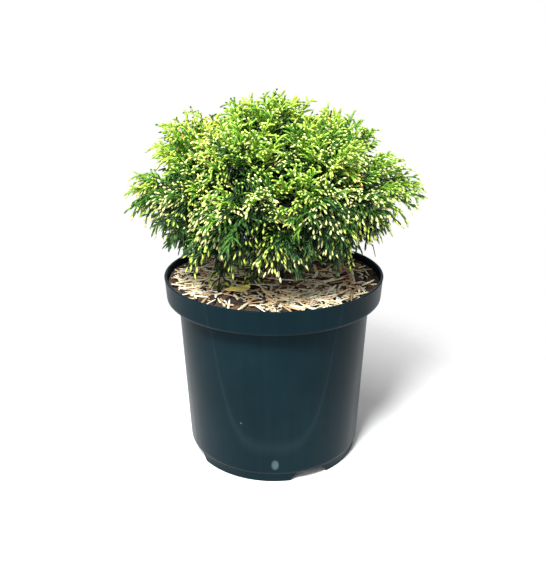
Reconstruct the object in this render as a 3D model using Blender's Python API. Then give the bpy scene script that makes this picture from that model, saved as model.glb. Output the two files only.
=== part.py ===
"""Potted white pygmy sawara cypress, a low mounded shrub in a round nursery pot.

Metres, +Z up. The origin is the centre of the pot's underside and -Y is the front.
A short trunk runs up as a leader. Boughs leave it in whorls, and each bough ends at
the stem of one foliage mass. Every mass keeps to its own cell of the mound.
"""

import math
import random

import bmesh
import bpy
from mathutils import Matrix, Vector
from mathutils.bvhtree import BVHTree

# Pot
POT_HEIGHT = 0.1957
RIM_RADIUS = 0.1125
RIM_WIDTH = 0.0026
COLLAR_DEPTH = 0.0244
COLLAR_FOOT_RADIUS = 0.1108
WALL_TOP_RADIUS = 0.0990
WALL_FOOT_RADIUS = 0.0920
WALL = 0.0018
FOOT_RADIUS = 0.0901
FOOT_HEIGHT = 0.0096
FOOT_WIDTH = 0.0028
FLOOR_THICKNESS = 0.0022
EDGE_ROUND = 0.0006
TURN_STEPS = 40
NOTCHES = 4
FIRST_NOTCH = 24.0
NOTCH_HALF_TOP = 0.0144
NOTCH_HALF_FOOT = 0.0208
NOTCH_HEIGHT = 0.0092
DRAIN_HOLES = 6
DRAIN_RADIUS = 0.0050
DRAIN_CIRCLE = 0.0660

# Compost and mulch
CLEAR = 0.0003
SOIL_TOP = POT_HEIGHT - 0.0150
MULCH_TOP = POT_HEIGHT - 0.0095
MULCH_RINGS = (0.035, 0.062, 0.089)
MULCH_BUMP = 0.0014
CHIPS = 18
CHIP_SIZE = (0.021, 0.007, 0.0034)
CHIP_SPREAD = (0.7, 1.2)
CHIP_LEAN = 10.0
CHIP_LIFT = 0.3

# Fallen leaf
LEAF_PLACE = (-0.035, -0.049)
LEAF_LENGTH = 0.025
LEAF_WIDTH = 0.013
LEAF_THICKNESS = 0.0005
LEAF_CURL = 0.0012
LEAF_TURN = 18.0
LEAF_POINTS = 12
LEAF_TAPER = 0.25

# Trunk
TRUNK_HEIGHT = 0.1270
TRUNK_LEAN = Vector((-0.0030, 0.0020, 0.0))
TRUNK_BEND = 0.3
TRUNK_SIDES = 10
TRUNK_RADII = ((0.0, 0.0096), (0.03, 0.0080), (0.09, 0.0064), (0.24, 0.0055), (0.55, 0.0042), (1.0, 0.0024))

# Mound of foliage: two half ellipsoids on one waist, with a core and sprays in each mass's cell
WAIST = Vector((0.0, 0.0, POT_HEIGHT + 0.070))
HALF_WIDTH = 0.128
HALF_DEPTH = 0.128
RISE = 0.1070
DROP = 0.070
HEART = 0.66
CELL_GAP = 0.0012
BACK_DEPTH = 0.024
CORE_SIDE_FILL = 0.90
CORE_FRONT_FILL = 0.68
CORE_FACING = 0.7
CORE_LUMPS = 0.10
CORE_LIMB_CLEAR = 0.0060
CORE_SHRINK = 0.94
SPRAYS = 222
LOWEST_SPRAY = -0.84
SPRAY_AIM = 0.85
TIP_SPREAD = (0.965, 1.010)
REACH_SPREAD = 38.0

# Boughs, stems, twigs and sprays
BOUGH_SHARE = 0.56
BOUGH_TIP_RADIUS = 0.0017
BOUGH_SIDES = 6
BOUGH_STEPS = 3
BOUGH_CURVE = 0.45
STEM_RADII = (0.0016, 0.0010)
STEM_FORKS = (0.6, 0.8, 1.0)
TWIG_RADII = (0.0008, 0.0005)
LIMB_CLEAR = 0.0010
SPRAY_ROOT = 0.40
SPRAY_ROLL = 0.7
SPRAY_THICKNESS = 0.075
# Droop as a part of the length: at the top, gained for each unit a direction lies below the second value
LEAST_DROOP = 0.05
DROOP_FROM = 0.8
DROOP_GAIN = 0.22
# Half outline of a spray, as parts of its length: along and across
SPRAY_NOTCHES = ((0.26, 0.07), (0.66, 0.12))
SPRAY_TEETH = ((0.56, 0.38), (0.86, 0.25))
SPRAY_RIDGE = (0.34, 0.70)
SPRAY_SHRINKS = (1.0, 0.92, 0.84, 0.76)
SHORTEST_SPRAY = 0.012

# Foliage masses: degrees round from the front towards +X, degrees up, reach of the tips
MASSES = {
    "top": (-124, 87.5, 1.00),
    "shoulder_left": (-96, 33, 1.12),
    "shoulder_front_left": (-30, 40, 1.00),
    "shoulder_right": (42, 38, 1.00),
    "shoulder_back_right": (106, 36, 1.04),
    "shoulder_back_left": (180, 38, 1.00),
    "wing_left": (-90, 6, 1.20),
    "side_left": (-55, 8, 1.00),
    "front_left": (-19, 7, 1.04),
    "front_right": (25, 12, 1.04),
    "side_right": (60, 8, 1.00),
    "wing_right": (92, 11, 1.20),
    "back_right": (133, 8, 1.00),
    "back": (180, 8, 1.02),
    "back_left": (-133, 8, 1.02),
    "skirt_left": (-78, -25, 1.00),
    "skirt_front_left": (-38, -27, 1.02),
    "skirt_front": (4, -25, 1.00),
    "skirt_right": (48, -26, 0.94),
    "skirt_back_right": (103, -27, 0.84),
    "skirt_back": (158, -25, 1.00),
    "skirt_back_left": (-148, -25, 1.00),
}
# Where each ring's boughs leave the trunk, as parts of its height, taken in turn
BOUGH_STATIONS = {"skirt": (0.11, 0.16, 0.21), "middle": (0.32, 0.38, 0.44), "shoulder": (0.56, 0.62, 0.68)}

# Colour and roughness of each finish
PLASTIC = ((0.012, 0.045, 0.060), 0.38)
COMPOST = ((0.030, 0.018, 0.012), 0.95)
SHREDS = ((0.30, 0.19, 0.11), 0.90)
YELLOW = ((0.80, 0.62, 0.12), 0.60)
BARK = ((0.19, 0.125, 0.085), 0.90)
LOW_FOLIAGE = Vector((0.15, 0.26, 0.08))
TOP_FOLIAGE = Vector((0.30, 0.52, 0.08))
FOLIAGE_ROUGHNESS = 0.60


def clear_scene():
    for obj in list(bpy.data.objects):
        bpy.data.objects.remove(obj, do_unlink=True)


def material(name, colour, roughness):
    made = bpy.data.materials.new(name)
    made.use_nodes = True
    shader = made.node_tree.nodes["Principled BSDF"]
    shader.inputs["Base Color"].default_value = (*colour, 1.0)
    shader.inputs["Roughness"].default_value = roughness
    shader.inputs["Metallic"].default_value = 0.0
    return made


def add_object(name, bm, finish, smooth=False):
    """Make an object of a bmesh that is in world coordinates."""
    mesh = bpy.data.meshes.new(name)
    bm.to_mesh(mesh)
    bm.free()
    if smooth:
        mesh.shade_smooth()
        mesh.set_sharp_from_angle(angle=math.radians(35))
    if finish:
        mesh.materials.append(finish)
    obj = bpy.data.objects.new(name, mesh)
    bpy.context.scene.collection.objects.link(obj)
    return obj


def apply_boolean(obj, operation, others):
    """Cut or join the other objects into obj, keep the result and remove the others."""
    group = bpy.data.collections.new(obj.name + "_tools")
    bpy.context.scene.collection.children.link(group)
    for other in others:
        bpy.context.scene.collection.objects.unlink(other)
        group.objects.link(other)
        other.hide_render = True
        other.display_type = "WIRE"
    boolean = obj.modifiers.new(operation.title(), "BOOLEAN")
    boolean.operation = operation
    boolean.operand_type = "COLLECTION"
    boolean.collection = group
    boolean.solver = "EXACT"
    evaluated = obj.evaluated_get(bpy.context.evaluated_depsgraph_get())
    joined = bpy.data.meshes.new_from_object(evaluated)
    obj.modifiers.clear()
    obj.data = joined
    for other in others:
        bpy.data.objects.remove(other, do_unlink=True)
    bpy.data.collections.remove(group)


def shell_volume(faces):
    """Signed volume of a closed set of triangles; a sealed hollow counts below zero."""
    total = 0.0
    for face in faces:
        a, b, c = (vert.co for vert in face.verts)
        total += a.dot(b.cross(c)) / 6.0
    return total


def keep_outer_shell(obj):
    """Triangulate, then fill sealed hollows and drop loose scraps: only the largest shell stays."""
    bm = bmesh.new()
    bm.from_mesh(obj.data)
    bmesh.ops.triangulate(bm, faces=bm.faces)
    unseen = set(bm.faces)
    shells = []
    while unseen:
        shell = [unseen.pop()]
        for face in shell:
            for edge in face.edges:
                for other in edge.link_faces:
                    if other in unseen:
                        unseen.remove(other)
                        shell.append(other)
        shells.append(shell)
    shells.sort(key=shell_volume)
    for shell in shells[:-1]:
        bmesh.ops.delete(bm, geom=shell, context="FACES")
    loose = [vert for vert in bm.verts if not vert.link_faces]
    bmesh.ops.delete(bm, geom=loose, context="VERTS")
    bm.to_mesh(obj.data)
    bm.free()


def turned(profile):
    """Revolve a closed (radius, height) outline round Z. Points on the axis become one pole each."""
    bm = bmesh.new()
    verts = [bm.verts.new((radius, 0.0, height)) for radius, height in profile]
    edges = [bm.edges.new((a, b)) for a, b in zip(verts, verts[1:])]
    if profile[0][0] > 0.0:
        edges.append(bm.edges.new((verts[-1], verts[0])))
    outline = verts + edges
    bmesh.ops.spin(bm, geom=outline, axis=(0, 0, 1), angle=math.tau, steps=TURN_STEPS, use_merge=True)
    bmesh.ops.remove_doubles(bm, verts=bm.verts, dist=1e-6)
    bmesh.ops.recalc_face_normals(bm, faces=bm.faces)
    return bm


def round_direction(degrees, up=0.0):
    """A direction so many degrees round from the front towards +X, and up from the level."""
    turn = math.radians(degrees)
    lift = math.radians(up)
    return Vector((math.cos(lift) * math.sin(turn), -math.cos(lift) * math.cos(turn), math.sin(lift)))


def guide_for(run):
    """A direction well away from a run's own, which keeps rings and blades from twisting."""
    return Vector((0, 1, 0)) if abs(run.normalized().z) > 0.95 else Vector((0, 0, 1))


def cross_frame(axis, guide):
    """Two directions square to an axis and to each other; the second leans to the guide."""
    across = axis.cross(guide).normalized()
    return across, across.cross(axis).normalized()


def tube(points, radii, sides):
    """A tapering limb with flat ends through the points."""
    bm = bmesh.new()
    guide = guide_for(points[-1] - points[0])
    rings = []
    for index, (point, radius) in enumerate(zip(points, radii)):
        before = points[max(index - 1, 0)]
        after = points[min(index + 1, len(points) - 1)]
        level, upright = cross_frame((after - before).normalized(), guide)
        ring = []
        for side in range(sides):
            angle = math.tau * side / sides
            ring.append(bm.verts.new(point + radius * (math.cos(angle) * level + math.sin(angle) * upright)))
        rings.append(ring)
    for low, high in zip(rings, rings[1:]):
        for side in range(sides):
            after = (side + 1) % sides
            bm.faces.new((low[side], low[after], high[after], high[side]))
    bm.faces.new(rings[0])
    bm.faces.new(rings[-1])
    bmesh.ops.recalc_face_normals(bm, faces=bm.faces)
    return bm


# Pot

def collar_inner_radius(height):
    """Radius of the collar's inside at a height."""
    rise = (height - (POT_HEIGHT - COLLAR_DEPTH)) / COLLAR_DEPTH
    return COLLAR_FOOT_RADIUS + rise * (RIM_RADIUS - COLLAR_FOOT_RADIUS) - WALL


def shelf_top():
    return POT_HEIGHT - COLLAR_DEPTH + WALL


def floor_top():
    return FOOT_HEIGHT + EDGE_ROUND + FLOOR_THICKNESS


def make_pot(finish):
    shelf = POT_HEIGHT - COLLAR_DEPTH
    underfloor = FOOT_HEIGHT + EDGE_ROUND
    foot_inner = FOOT_RADIUS - FOOT_WIDTH
    profile = [
        (0.0, floor_top()),
        (WALL_FOOT_RADIUS - 2 * WALL, floor_top()),
        (WALL_FOOT_RADIUS - WALL, floor_top() + WALL),
        (WALL_TOP_RADIUS - WALL, shelf_top() - EDGE_ROUND),
        (WALL_TOP_RADIUS, shelf_top()),
        (collar_inner_radius(shelf_top()), shelf_top() + EDGE_ROUND),
        (RIM_RADIUS - RIM_WIDTH, POT_HEIGHT - RIM_WIDTH),
        (RIM_RADIUS - RIM_WIDTH + EDGE_ROUND, POT_HEIGHT),
        (RIM_RADIUS - EDGE_ROUND, POT_HEIGHT),
        (RIM_RADIUS, POT_HEIGHT - EDGE_ROUND),
        (COLLAR_FOOT_RADIUS, shelf + WALL),
        (COLLAR_FOOT_RADIUS - 2 * EDGE_ROUND, shelf),
        (WALL_TOP_RADIUS + EDGE_ROUND, shelf - EDGE_ROUND),
        (WALL_TOP_RADIUS, shelf - 2 * EDGE_ROUND),
        (WALL_FOOT_RADIUS, underfloor),
        (FOOT_RADIUS + EDGE_ROUND, FOOT_HEIGHT),
        (FOOT_RADIUS, EDGE_ROUND),
        (FOOT_RADIUS - EDGE_ROUND, 0.0),
        (foot_inner, 0.0),
        (foot_inner, underfloor),
        (0.0, underfloor),
    ]
    pot = add_object("pot", turned(profile), finish, smooth=True)
    cutters = []
    for index in range(NOTCHES):
        cutters.append(notch_cutter(FIRST_NOTCH + index * 360.0 / NOTCHES))
    for index in range(DRAIN_HOLES):
        cutters.append(drain_cutter(round_direction((index + 0.5) * 360.0 / DRAIN_HOLES) * DRAIN_CIRCLE))
    apply_boolean(pot, "DIFFERENCE", cutters)
    return pot


def notch_cutter(degrees):
    """A block with sloped sides, which opens the foot ring from below."""
    bm = bmesh.new()
    inner = FOOT_RADIUS - 4 * FOOT_WIDTH
    outer = FOOT_RADIUS + 4 * FOOT_WIDTH
    below = -FOOT_WIDTH
    slope = (NOTCH_HALF_FOOT - NOTCH_HALF_TOP) / NOTCH_HEIGHT
    low_half = NOTCH_HALF_FOOT - slope * below
    top = NOTCH_HEIGHT
    corners = ((-low_half, below), (low_half, below), (NOTCH_HALF_TOP, top), (-NOTCH_HALF_TOP, top))
    face = bm.faces.new([bm.verts.new((x, -inner, z)) for x, z in corners])
    pulled = bmesh.ops.extrude_face_region(bm, geom=[face])
    moved = [item for item in pulled["geom"] if isinstance(item, bmesh.types.BMVert)]
    bmesh.ops.translate(bm, verts=moved, vec=(0, inner - outer, 0))
    bmesh.ops.transform(bm, verts=bm.verts, matrix=Matrix.Rotation(math.radians(degrees), 4, "Z"))
    bmesh.ops.recalc_face_normals(bm, faces=bm.faces)
    return add_object("notch_cutter", bm, None)


def drain_cutter(place):
    low = place + Vector((0, 0, FOOT_HEIGHT - FLOOR_THICKNESS))
    high = place + Vector((0, 0, floor_top() + FLOOR_THICKNESS))
    return add_object("drain_cutter", tube([low, high], [DRAIN_RADIUS, DRAIN_RADIUS], 8), None)


# Compost, mulch and the fallen leaf

def make_soil(finish):
    """Compost that fills the pot, with the wall's step, just clear of the plastic."""
    profile = [
        (0.0, SOIL_TOP),
        (collar_inner_radius(SOIL_TOP) - CLEAR, SOIL_TOP),
        (collar_inner_radius(shelf_top()) - 2 * CLEAR, shelf_top() + EDGE_ROUND + CLEAR),
        (WALL_TOP_RADIUS, shelf_top() + CLEAR),
        (WALL_TOP_RADIUS - WALL - CLEAR, shelf_top() - EDGE_ROUND),
        (WALL_FOOT_RADIUS - WALL - CLEAR, floor_top() + WALL + CLEAR),
        (WALL_FOOT_RADIUS - 2 * WALL, floor_top() + CLEAR),
        (0.0, floor_top() + CLEAR),
    ]
    return add_object("soil", turned(profile), finish)


def make_mulch(finish):
    """A bumpy layer of shredded wood with coarse chips fused on, open round the trunk's foot."""
    rng = random.Random(11)
    foot = SOIL_TOP + CLEAR
    edge = collar_inner_radius(foot) - CLEAR
    hole = TRUNK_RADII[0][1] + CLEAR
    profile = [(hole, foot), (hole, MULCH_TOP)]
    profile += [(radius, MULCH_TOP) for radius in MULCH_RINGS]
    profile += [(edge, MULCH_TOP - MULCH_BUMP), (edge, foot)]
    bm = turned(profile)
    for vert in bm.verts:
        if vert.co.z > foot + MULCH_BUMP and vert.co.xy.length < edge - CLEAR:
            vert.co.z += rng.uniform(-MULCH_BUMP, MULCH_BUMP)
    mulch = add_object("mulch", bm, finish)
    chips = []
    while len(chips) < CHIPS:
        radius = math.sqrt(rng.uniform(0.03, 1.0)) * (edge - 0.6 * CHIP_SIZE[0])
        place = round_direction(rng.uniform(0, 360)) * radius
        if (place.xy - Vector(LEAF_PLACE)).length > LEAF_LENGTH:
            chips.append(chip(place, rng))
    apply_boolean(mulch, "UNION", chips)
    keep_outer_shell(mulch)
    return mulch


def chip(place, rng):
    bm = bmesh.new()
    bmesh.ops.create_cube(bm, size=1.0)
    size = [side * rng.uniform(*CHIP_SPREAD) for side in CHIP_SIZE]
    lean = math.radians(rng.uniform(-CHIP_LEAN, CHIP_LEAN))
    spin = Matrix.Rotation(rng.uniform(0, math.tau), 4, "Z") @ Matrix.Rotation(lean, 4, "Y")
    spot = Matrix.Translation((place.x, place.y, MULCH_TOP + rng.uniform(0.0, CHIP_LIFT) * size[2]))
    bmesh.ops.transform(bm, verts=bm.verts, matrix=spot @ spin @ Matrix.Diagonal((*size, 1.0)))
    return add_object("chip", bm, None)


def make_fallen_leaf(finish, mulch):
    """A curled oval leaf lying on the highest bumps beneath it."""
    bm = bmesh.new()
    rim = []
    for index in range(LEAF_POINTS):
        angle = math.tau * index / LEAF_POINTS
        along = 0.5 * LEAF_LENGTH * math.cos(angle)
        across = 0.5 * LEAF_WIDTH * math.sin(angle) * (1.0 + LEAF_TAPER * math.cos(angle))
        rim.append(bm.verts.new((along, across, 0.0)))
    face = bm.faces.new(rim)
    bmesh.ops.poke(bm, faces=[face])
    pulled = bmesh.ops.extrude_face_region(bm, geom=list(bm.faces))
    moved = [item for item in pulled["geom"] if isinstance(item, bmesh.types.BMVert)]
    bmesh.ops.translate(bm, verts=moved, vec=(0, 0, LEAF_THICKNESS))
    for vert in bm.verts:
        vert.co.z += LEAF_CURL * (2.0 * vert.co.x / LEAF_LENGTH) ** 2
    turn = Matrix.Rotation(math.radians(LEAF_TURN), 4, "Z")
    bmesh.ops.transform(bm, verts=bm.verts, matrix=Matrix.Translation((*LEAF_PLACE, POT_HEIGHT)) @ turn)
    bmesh.ops.recalc_face_normals(bm, faces=bm.faces)
    bed = bmesh.new()
    bed.from_mesh(mulch.data)
    drop = min(falls(bm, bed, -1), falls(bed, bm, 1))
    bed.free()
    bmesh.ops.translate(bm, verts=bm.verts, vec=(0, 0, 2 * CLEAR - drop))
    return add_object("fallen_leaf", bm, finish, smooth=True)


def falls(bm, other, way):
    """The shortest way, straight up or down, from one mesh's corners and middles to the other mesh."""
    tree = BVHTree.FromBMesh(other)
    shortest = POT_HEIGHT
    for face in bm.faces:
        spots = [vert.co for vert in face.verts] + [face.calc_center_median()]
        for spot in spots:
            distance = tree.ray_cast(spot, Vector((0, 0, way)))[3]
            if distance is not None:
                shortest = min(shortest, distance)
    return shortest


# Trunk and boughs

def trunk_point(part):
    """The trunk's axis at a part of its height: it leans a little, with a slight bend."""
    bend = TRUNK_LEAN.cross(Vector((0, 0, 1))) * TRUNK_BEND * math.sin(math.pi * part)
    return Vector((0, 0, SOIL_TOP + CLEAR + part * TRUNK_HEIGHT)) + TRUNK_LEAN * part + bend


def trunk_tube(extra):
    points = [trunk_point(part) for part, _ in TRUNK_RADII]
    radii = [radius + extra for _, radius in TRUNK_RADII]
    bm = tube(points, radii, TRUNK_SIDES)
    if not extra:
        lowest = sorted(bm.verts, key=lambda vert: vert.co.z)[:TRUNK_SIDES]
        for vert in lowest:
            vert.co.z = SOIL_TOP + CLEAR
    return bm


def bough_path(mass):
    """From the trunk's axis, out at a slant, to the flat tip that meets the mass's stem."""
    start = trunk_point(mass.station)
    tip = mass.stem_start - CLEAR * mass.out
    middle = tip - BOUGH_CURVE * (tip - start).length * mass.out
    points = []
    for step in range(BOUGH_STEPS + 1):
        t = step / BOUGH_STEPS
        points.append((1 - t) ** 2 * start + 2 * t * (1 - t) * middle + t**2 * tip)
    return points


def trunk_radius(part):
    """The trunk's radius at a part of its height."""
    for (low, thick), (high, thin) in zip(TRUNK_RADII, TRUNK_RADII[1:]):
        if part <= high:
            return thick + (thin - thick) * (part - low) / (high - low)
    return TRUNK_RADII[-1][1]


def make_bough(mass, finish):
    thick = BOUGH_SHARE * trunk_radius(mass.station)
    radii = [thick + (BOUGH_TIP_RADIUS - thick) * step / BOUGH_STEPS for step in range(BOUGH_STEPS + 1)]
    bm = tube(bough_path(mass), radii, BOUGH_SIDES)
    bough = add_object("bough_" + mass.name, bm, finish)
    apply_boolean(bough, "DIFFERENCE", [add_object("trunk_clearance", trunk_tube(CLEAR), None)])
    keep_outer_shell(bough)
    return bough


# Foliage masses

def on_mound(direction, reach=1.0):
    """The mound's surface in a direction from its waist."""
    height = RISE if direction.z > 0 else DROP
    return WAIST + reach * Vector((direction.x * HALF_WIDTH, direction.y * HALF_DEPTH, direction.z * height))


def mound_level(point):
    """Below 1 inside the mound, 1 on its surface."""
    offset = point - WAIST
    height = RISE if offset.z > 0 else DROP
    return math.hypot(offset.x / HALF_WIDTH, offset.y / HALF_DEPTH, offset.z / height)


class Mass:
    """One foliage mass: its heart, the direction its stem enters by, and its cell's planes."""

    def __init__(self, name, round_degrees, up_degrees, reach):
        self.name = name
        self.reach = reach
        self.middle = round_direction(round_degrees, up_degrees)
        self.heart = on_mound(self.middle, HEART)
        self.planes = []
        self.station = 1.0
        self.out = Vector((0, 0, 1))
        self.stem_start = self.heart

    def join_to(self, station):
        """Sets the point of the trunk that the mass grows from, and with it the stem's line."""
        self.station = station
        self.out = (self.heart - trunk_point(station)).normalized()
        self.stem_start = self.heart - BACK_DEPTH * self.out
        if station == 1.0:
            self.stem_start = trunk_point(1.0) + CLEAR * self.out

    def set_cell(self, masses):
        """Planes halfway to every other heart, and one behind the stem's start."""
        for other in masses:
            if other is not self:
                away = (other.heart - self.heart).normalized()
                half = 0.5 * (other.heart - self.heart).length
                self.planes.append((away, half - 0.5 * CELL_GAP))
        self.planes.append((-self.out, (self.heart - self.stem_start).length - CELL_GAP))

    def reach_towards(self, direction):
        """The mass's own reach at its middle, easing to the mound's surface round it."""
        turned_away = math.degrees(direction.angle(self.middle)) / REACH_SPREAD
        return 1.0 + (self.reach - 1.0) * max(0.0, 1.0 - turned_away**2)

    def room(self, direction):
        """How far the cell reaches from the heart in a direction."""
        nearest = [limit / direction.dot(away) for away, limit in self.planes if direction.dot(away) > 1e-6]
        low, high = 0.0, 2.0 * HALF_WIDTH
        for _ in range(24):
            half = 0.5 * (low + high)
            if mound_level(self.heart + half * direction) < self.reach:
                low = half
            else:
                high = half
        return min(nearest + [low])

    def holds(self, point):
        """True for a point inside the cell's planes."""
        return all((point - self.heart).dot(away) < limit for away, limit in self.planes)


def make_masses():
    masses = [Mass(name, *numbers) for name, numbers in MASSES.items()]
    taken = {ring: 0 for ring in BOUGH_STATIONS}
    for mass in masses:
        first_word = mass.name.split("_")[0]
        if first_word == "top":
            mass.join_to(1.0)
        else:
            ring = first_word if first_word in BOUGH_STATIONS else "middle"
            stations = BOUGH_STATIONS[ring]
            mass.join_to(stations[taken[ring] % len(stations)])
            taken[ring] += 1
    for mass in masses:
        mass.set_cell(masses)
    return masses


def core_bmesh(mass, limbs, rng):
    """A lumpy body that fills the cell beside its neighbours and stays back where sprays stand out."""
    bm = bmesh.new()
    bmesh.ops.create_icosphere(bm, subdivisions=2, radius=1.0)
    outward = (mass.heart - WAIST).normalized()
    for vert in bm.verts:
        direction = vert.co.normalized()
        facing = max(direction.dot(outward), 0.0) ** CORE_FACING
        fill = CORE_SIDE_FILL + (CORE_FRONT_FILL - CORE_SIDE_FILL) * facing
        reach = mass.room(direction) * fill * (1.0 - rng.uniform(0.0, CORE_LUMPS))
        while not clear_of_limbs([mass.heart + direction * reach], limbs, CORE_LIMB_CLEAR):
            reach *= CORE_SHRINK
        vert.co = mass.heart + direction * reach
    return bm


def spray_bmesh(root, tip, flat, droop):
    """A drooping toothed blade with a raised rib above and below."""
    bm = bmesh.new()
    length = (tip - root).length
    along = (tip - root) / length
    across = along.cross(flat).normalized()
    above = across.cross(along)

    def spot(part, side, lift):
        sag = droop * part**2
        return bm.verts.new(root + length * (along * part + across * side + above * (lift - sag)))

    base = spot(0.0, 0.0, 0.0)
    end = spot(1.0, 0.0, 0.0)
    ribs = []
    for lift in (0.5 * SPRAY_THICKNESS, -0.5 * SPRAY_THICKNESS):
        ribs.append([spot(part, 0.0, lift * (1.1 - 0.5 * part)) for part in SPRAY_RIDGE])
    for side in (1, -1):
        edge = []
        for notch, tooth in zip(SPRAY_NOTCHES, SPRAY_TEETH):
            edge += [spot(notch[0], side * notch[1], 0.0), spot(tooth[0], side * tooth[1], 0.0)]
        for rib in ribs:
            chain = [base] + rib + [end]
            bm.faces.new((base, edge[0], rib[0]))
            for index in range(len(rib)):
                notch, tooth = edge[2 * index], edge[2 * index + 1]
                bm.faces.new((notch, tooth, rib[index]))
                bm.faces.new((rib[index], tooth, chain[index + 2]))
                if index + 1 < len(rib):
                    bm.faces.new((tooth, edge[2 * index + 2], rib[index + 1]))
    bmesh.ops.recalc_face_normals(bm, faces=bm.faces)
    return bm


def limb_distance(point, path):
    """Distance from a point to a polyline."""
    best = 1.0
    for a, b in zip(path, path[1:]):
        run = b - a
        t = min(max((point - a).dot(run) / run.length_squared, 0.0), 1.0)
        best = min(best, (a + t * run - point).length)
    return best


def clear_of_limbs(points, limbs, clearance):
    for path, radius in limbs:
        if any(limb_distance(point, path) < radius + clearance for point in points):
            return False
    return True


def limbs_near(mass, limbs):
    return [limb for limb in limbs if limb_distance(mass.heart, limb[0]) < HALF_WIDTH / 2]


def spray_directions():
    """Directions dealt evenly over the mound by the golden angle, from the top down."""
    golden = math.pi * (3.0 - math.sqrt(5.0))
    for index in range(SPRAYS):
        rise = 1.0 - (2 * index + 1) / SPRAYS
        if rise < LOWEST_SPRAY:
            return
        flat = math.sqrt(1.0 - rise * rise)
        yield Vector((flat * math.sin(golden * index), -flat * math.cos(golden * index), rise))


def deal_sprays(masses, limbs):
    """Gives each direction's spray to the nearest mass, shortened to fit its cell or left out."""
    rng = random.Random(23)
    dealt = {mass.name: [] for mass in masses}
    near = {mass.name: limbs_near(mass, limbs) for mass in masses}
    for direction in spray_directions():
        aim = on_mound(direction, SPRAY_AIM)
        mass = min(masses, key=lambda item: (item.heart - aim).length)
        goal = on_mound(direction, mass.reach_towards(direction) * rng.uniform(*TIP_SPREAD))
        droop = LEAST_DROOP + DROOP_GAIN * max(0.0, DROOP_FROM - direction.z)
        roll = rng.uniform(-SPRAY_ROLL, SPRAY_ROLL)
        for shrink in SPRAY_SHRINKS:
            tip = mass.heart + (goal - mass.heart) * shrink
            root = mass.heart + (goal - mass.heart) * SPRAY_ROOT * shrink
            along = (tip - root).normalized()
            flat = Matrix.Rotation(roll, 3, along) @ cross_frame(along, guide_for(along))[1]
            if flat.z < 0:
                flat = -flat
            tip += flat * droop * (tip - root).length
            bm = spray_bmesh(root, tip, flat, droop)
            points = [vert.co.copy() for vert in bm.verts]
            points += [face.calc_center_median() for face in bm.faces]
            fits = all(mass.holds(point) for point in points)
            fits = fits and clear_of_limbs(points, near[mass.name], LIMB_CLEAR)
            if fits and (tip - root).length > SHORTEST_SPRAY:
                dealt[mass.name].append((root, tip, bm))
                break
            bm.free()
    return dealt


def make_mass(mass, sprays, limbs, finish):
    """Core, stem, twigs and sprays joined to one solid."""
    rng = random.Random(mass.name)
    core = core_bmesh(mass, limbs_near(mass, limbs), rng)
    foliage = add_object("foliage_" + mass.name, core, finish)
    pieces = [add_object("stem", tube([mass.stem_start, mass.heart], STEM_RADII, 5), None)]
    for index, (root, tip, bm) in enumerate(sprays):
        pieces.append(add_object("spray", bm, None))
        fork = mass.stem_start.lerp(mass.heart, STEM_FORKS[index % len(STEM_FORKS)])
        twig_end = root.lerp(tip, SPRAY_RIDGE[0])
        pieces.append(add_object("twig", tube([fork, twig_end], TWIG_RADII, 3), None))
    apply_boolean(foliage, "UNION", pieces)
    keep_outer_shell(foliage)
    return foliage


def main():
    clear_scene()
    make_pot(material("pot_plastic", *PLASTIC))
    make_soil(material("compost", *COMPOST))
    mulch = make_mulch(material("wood_mulch", *SHREDS))
    make_fallen_leaf(material("yellow_leaf", *YELLOW), mulch)
    bark = material("bark", *BARK)
    add_object("trunk", trunk_tube(0.0), bark)
    masses = make_masses()
    limbs = [([trunk_point(part) for part, _ in TRUNK_RADII], trunk_radius(BOUGH_STATIONS["skirt"][0]))]
    for mass in masses:
        if mass.name != "top":
            make_bough(mass, bark)
            limbs.append((bough_path(mass), BOUGH_SHARE * trunk_radius(mass.station)))
    dealt = deal_sprays(masses, limbs)
    for mass in masses:
        lift = min(max((mass.heart.z - WAIST.z) / RISE, 0.0), 1.0)
        green = LOW_FOLIAGE.lerp(TOP_FOLIAGE, lift)
        leaves = material("foliage_" + mass.name, green, FOLIAGE_ROUGHNESS)
        make_mass(mass, dealt[mass.name], limbs, leaves)


main()
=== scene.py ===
import math
import random

import bmesh
import bpy
import numpy as np
from mathutils import Matrix, Vector, noise


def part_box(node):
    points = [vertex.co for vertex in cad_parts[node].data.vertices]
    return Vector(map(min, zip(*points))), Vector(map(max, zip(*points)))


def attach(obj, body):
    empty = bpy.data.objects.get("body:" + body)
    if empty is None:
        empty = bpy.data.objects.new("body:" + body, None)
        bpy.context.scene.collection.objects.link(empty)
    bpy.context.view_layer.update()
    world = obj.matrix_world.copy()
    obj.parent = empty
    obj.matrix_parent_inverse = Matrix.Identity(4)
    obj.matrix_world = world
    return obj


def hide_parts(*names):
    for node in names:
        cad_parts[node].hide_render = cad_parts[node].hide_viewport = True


# Looks of a potted dwarf sawara cypress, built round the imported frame. Metres, +Z up, the front faces -Y.

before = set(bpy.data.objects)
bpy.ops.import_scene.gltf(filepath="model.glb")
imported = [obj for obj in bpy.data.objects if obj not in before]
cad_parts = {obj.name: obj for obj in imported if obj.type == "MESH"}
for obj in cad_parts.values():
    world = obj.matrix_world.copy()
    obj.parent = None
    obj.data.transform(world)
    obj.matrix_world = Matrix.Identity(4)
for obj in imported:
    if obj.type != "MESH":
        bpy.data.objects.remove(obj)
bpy.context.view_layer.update()  # the imported parts now in world space
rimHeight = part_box("pot")[1].z
print("frame loaded:", len(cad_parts), "nodes, rim at", round(rimHeight, 4))

up = Vector((0, 0, 1))
unbent = Vector((0, 0, 0))  # the bend of a strand that runs straight
steepest = 0.9  # a heading that rises more than this counts as upright


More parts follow.
